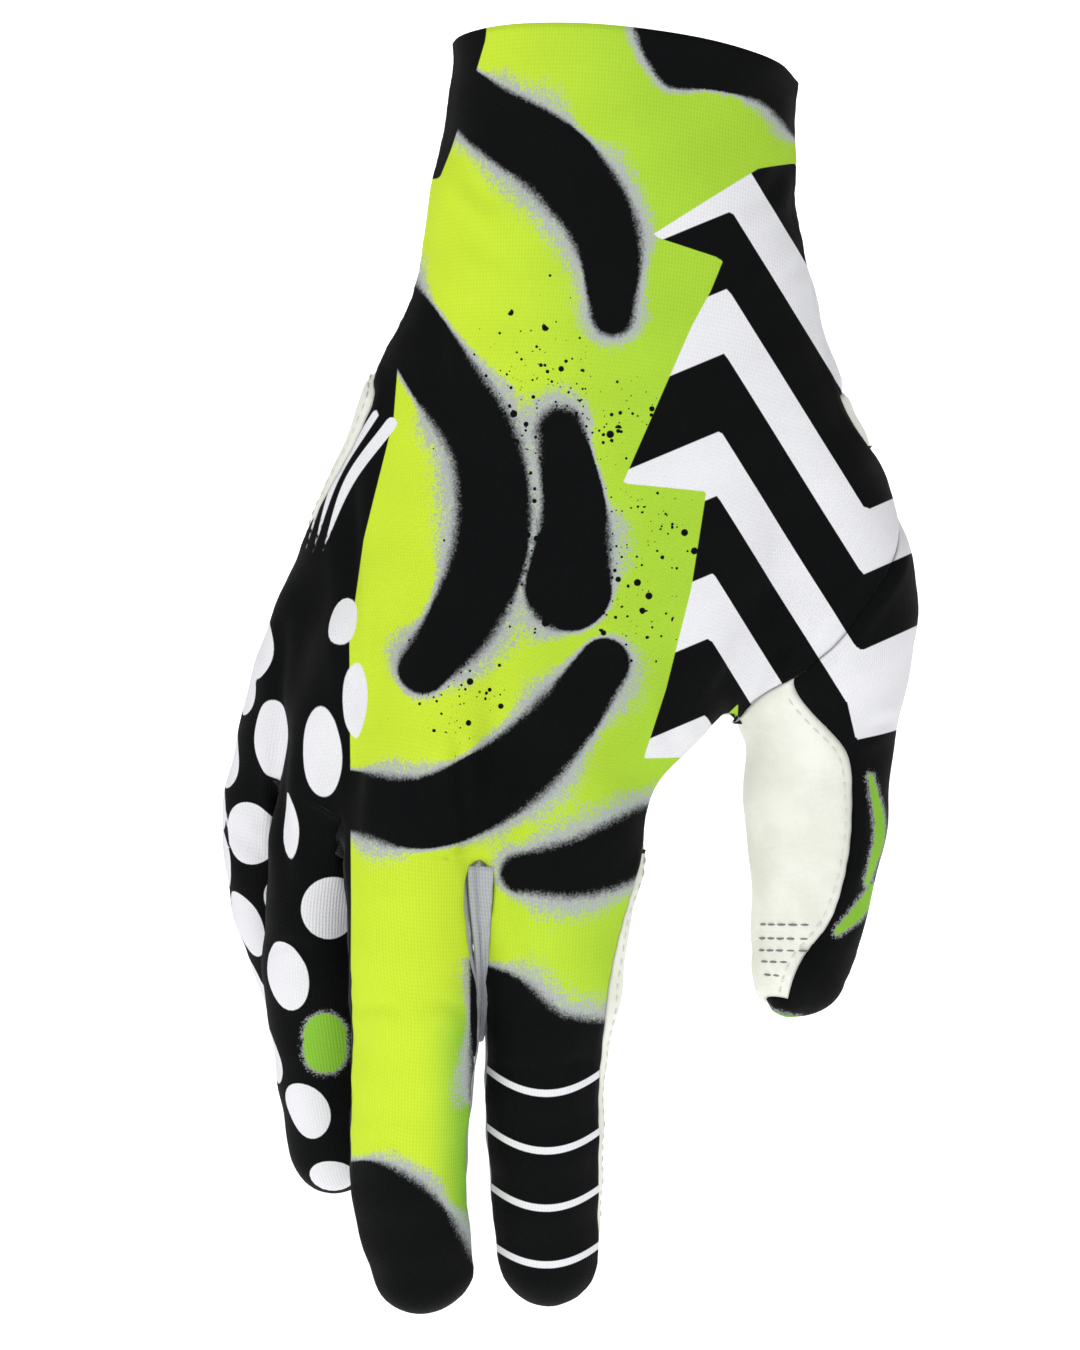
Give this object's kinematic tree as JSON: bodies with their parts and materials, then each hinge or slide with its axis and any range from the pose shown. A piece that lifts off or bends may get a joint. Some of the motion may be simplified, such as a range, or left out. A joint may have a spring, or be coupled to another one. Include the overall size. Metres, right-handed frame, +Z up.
{
  "type": "motocross glove",
  "caption": "Right-hand motocross glove, filled as if worn: printed stretch back and thumb, pale leather palm and thumb patch, and knit side walls between the fingers.",
  "frame": {"origin": "centre of the cuff's mouth", "axes": "+X towards the thumb's side, +Y towards the palm's side, away from the camera, +Z up, from the fingertips to the cuff"},
  "size_m": [0.1327, 0.074, 0.2446],
  "materials": {
    "print_fabric": "printed stretch fabric, matt, lime green with black, grey and white",
    "palm_leather": "off-white synthetic leather, matt with a fine grain",
    "side_knit": "light grey stretch knit, matt"
  },
  "bodies": {
    "root": {"back_panel": "print_fabric", "cuff_underside": "print_fabric", "palm_panel": "palm_leather", "fourchette_ring_little": "side_knit", "fourchette_middle_ring": "side_knit", "fourchette_index_middle": "side_knit", "thumb_back": "print_fabric", "thumb_patch": "palm_leather"}
  },
  "joints": []
}
